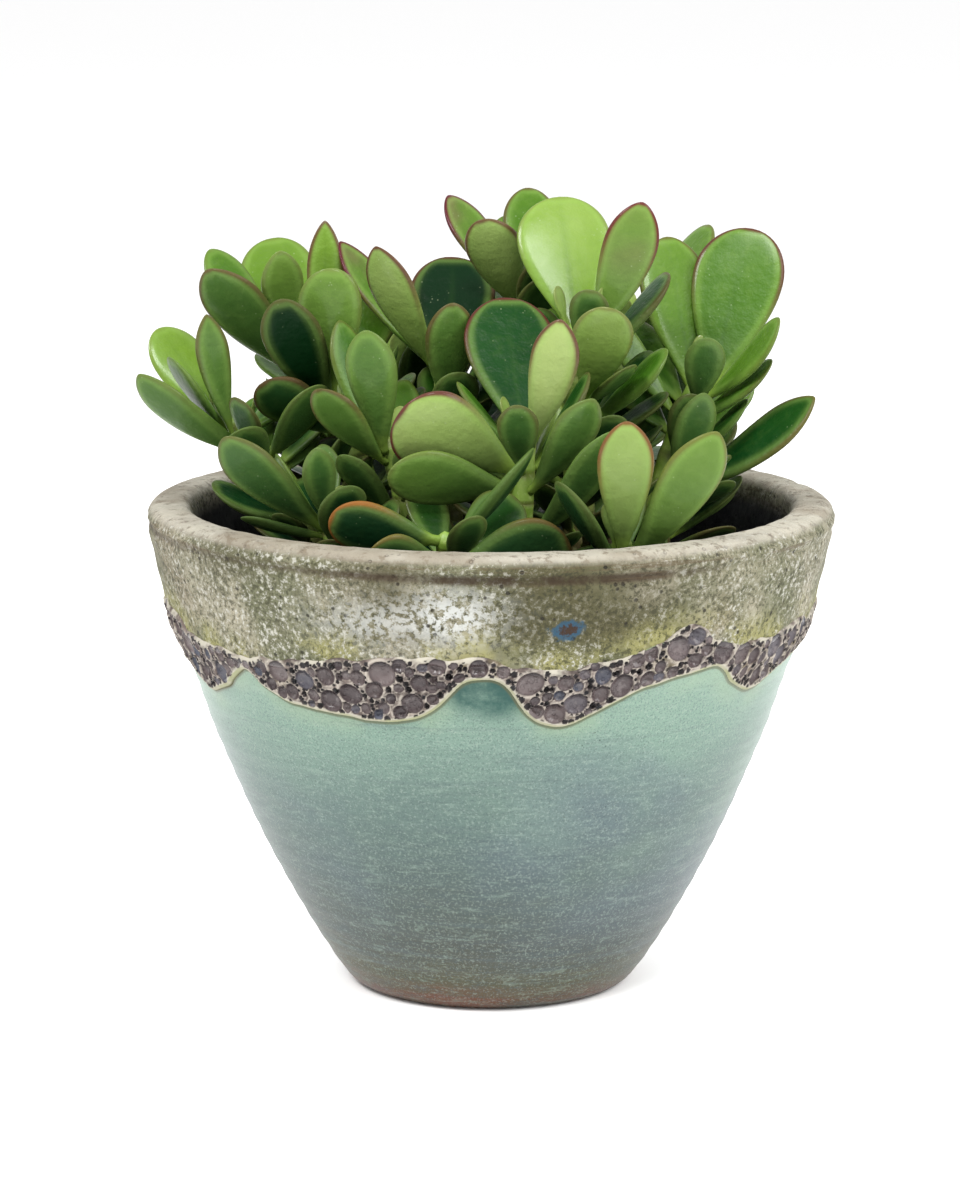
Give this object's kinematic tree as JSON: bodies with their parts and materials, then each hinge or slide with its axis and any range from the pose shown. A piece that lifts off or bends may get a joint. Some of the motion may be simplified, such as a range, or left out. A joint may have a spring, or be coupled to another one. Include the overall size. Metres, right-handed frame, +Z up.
{
  "type": "potted jade plant",
  "caption": "Jade plant with plump rounded leaves on upright green stems, growing in a wide conical glazed stoneware pot with a rough lava-glaze collar.",
  "frame": {"origin": "centre of the pot's flat foot, on the surface it stands on", "axes": "+Z up along the pot's axis; the side seen in the reference view faces -Y; +X is to that view's right"},
  "size_m": [0.2062, 0.205, 0.2363],
  "materials": {
    "pot_glaze": "satin celadon glaze below, rough mottled stone-coloured glaze with open craters above",
    "soil": "dark moist potting mix",
    "stem": "smooth fleshy lime-green stem",
    "leaf": "waxy, semi-glossy green with reddish margins"
  },
  "bodies": {
    "root": {"pot": "pot_glaze", "soil": "soil", "stem_far_left": "stem", "leaf_far_left_1": "leaf", "leaf_far_left_2": "leaf", "leaf_far_left_3": "leaf", "leaf_far_left_4": "leaf", "stem_left_back": "stem", "leaf_left_back_1": "leaf", "leaf_left_back_2": "leaf", "leaf_left_back_3": "leaf", "stem_left": "stem", "leaf_left_1": "leaf", "leaf_left_2": "leaf", "leaf_left_3": "leaf", "leaf_left_4": "leaf", "stem_middle_left": "stem", "leaf_middle_left_1": "leaf", "leaf_middle_left_2": "leaf", "leaf_middle_left_3": "leaf", "stem_low_left": "stem", "leaf_low_left_1": "leaf", "leaf_low_left_2": "leaf", "stem_front": "stem", "leaf_front_1": "leaf", "leaf_front_2": "leaf", "leaf_front_3": "leaf", "stem_middle": "stem", "leaf_middle_1": "leaf", "leaf_middle_2": "leaf", "leaf_middle_3": "leaf", "stem_back": "stem", "leaf_back_1": "leaf", "leaf_back_2": "leaf", "leaf_back_3": "leaf", "stem_centre": "stem", "leaf_centre_1": "leaf", "leaf_centre_2": "leaf", "leaf_centre_3": "leaf", "stem_front_centre": "stem", "leaf_front_centre_1": "leaf", "leaf_front_centre_2": "leaf", "leaf_front_centre_3": "leaf", "leaf_front_centre_4": "leaf", "stem_front_right": "stem", "leaf_front_right_1": "leaf", "leaf_front_right_2": "leaf", "stem_right": "stem", "leaf_right_1": "leaf", "leaf_right_2": "leaf", "leaf_right_3": "leaf", "leaf_right_4": "leaf", "leaf_right_5": "leaf", "leaf_right_6": "leaf", "stem_back_left": "stem", "leaf_back_left_1": "leaf", "leaf_back_left_2": "leaf", "stem_back_right": "stem", "leaf_back_right_1": "leaf", "leaf_back_right_2": "leaf"}
  },
  "joints": []
}
